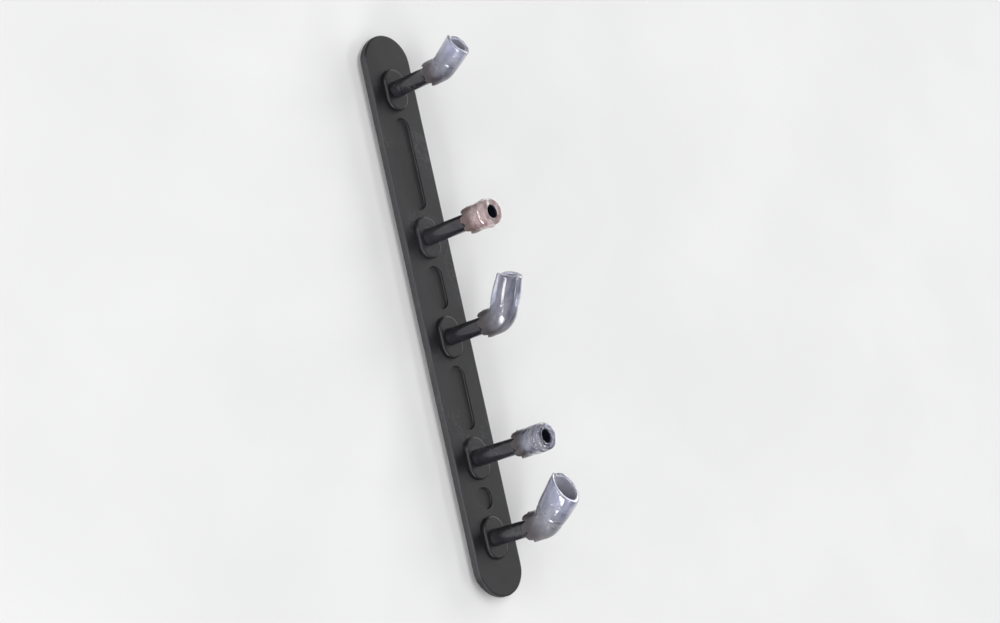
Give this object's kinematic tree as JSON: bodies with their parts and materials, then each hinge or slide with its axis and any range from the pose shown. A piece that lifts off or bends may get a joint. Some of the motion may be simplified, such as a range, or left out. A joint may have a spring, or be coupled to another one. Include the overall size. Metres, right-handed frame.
{
  "type": "vibration dampener",
  "caption": "String-hole vibration dampener for a squash racket head: a carrier strip with rigid barrels, each ending in a soft translucent nose that sways with its string.",
  "frame": {"origin": "middle of the strip's footprint, on the surface that its two outer rails stand on", "axes": "+X along the strip towards the racket's tip, +Y square to the string bed, +Z the way the barrels point, into the racket head"},
  "size_m": [0.072, 0.0074, 0.0165],
  "materials": {
    "strip_nylon": "satin moulded",
    "barrel_nylon": "smooth moulded",
    "milky_elastomer": "soft, milky translucent, glossy",
    "rosy_elastomer": "soft, milky translucent, faintly rose, glossy"
  },
  "bodies": {
    "strip": {"carrier_strip": "strip_nylon", "upper_main_barrel": "barrel_nylon", "upper_cross_barrel": "barrel_nylon", "middle_main_barrel": "barrel_nylon", "lower_cross_barrel": "barrel_nylon", "lower_main_barrel": "barrel_nylon"},
    "upper_main_sleeve": {"upper_main_nose": "milky_elastomer"},
    "upper_cross_sleeve": {"upper_cross_nose": "rosy_elastomer"},
    "middle_main_sleeve": {"middle_main_nose": "milky_elastomer"},
    "lower_cross_sleeve": {"lower_cross_nose": "milky_elastomer"},
    "lower_main_sleeve": {"lower_main_nose": "milky_elastomer"}
  },
  "joints": [
    {"name": "upper_main_sway", "type": "hinge", "parent": "strip", "child": "upper_main_sleeve", "pos_m": [0.0287, 0, 0.01], "axis": [0.92, 0, -0.3919], "range_deg": [-6, 6], "stiffness_Nm_per_rad": 0.01},
    {"name": "upper_cross_sway", "type": "hinge", "parent": "strip", "child": "upper_cross_sleeve", "pos_m": [0.0095, 0, 0.0111], "axis": [1, 0, 0], "range_deg": [-6, 6], "stiffness_Nm_per_rad": 0.01},
    {"name": "middle_main_sway", "type": "hinge", "parent": "strip", "child": "middle_main_sleeve", "pos_m": [-0.0033, 0, 0.01], "axis": [0.6846, 0, -0.729], "range_deg": [-6, 6], "stiffness_Nm_per_rad": 0.01},
    {"name": "lower_cross_sway", "type": "hinge", "parent": "strip", "child": "lower_cross_sleeve", "pos_m": [-0.0187, 0, 0.0111], "axis": [1, 0, 0], "range_deg": [-6, 6], "stiffness_Nm_per_rad": 0.01},
    {"name": "lower_main_sway", "type": "hinge", "parent": "strip", "child": "lower_main_sleeve", "pos_m": [-0.0287, 0, 0.01], "axis": [0.8563, 0, -0.5165], "range_deg": [-6, 6], "stiffness_Nm_per_rad": 0.01}
  ]
}
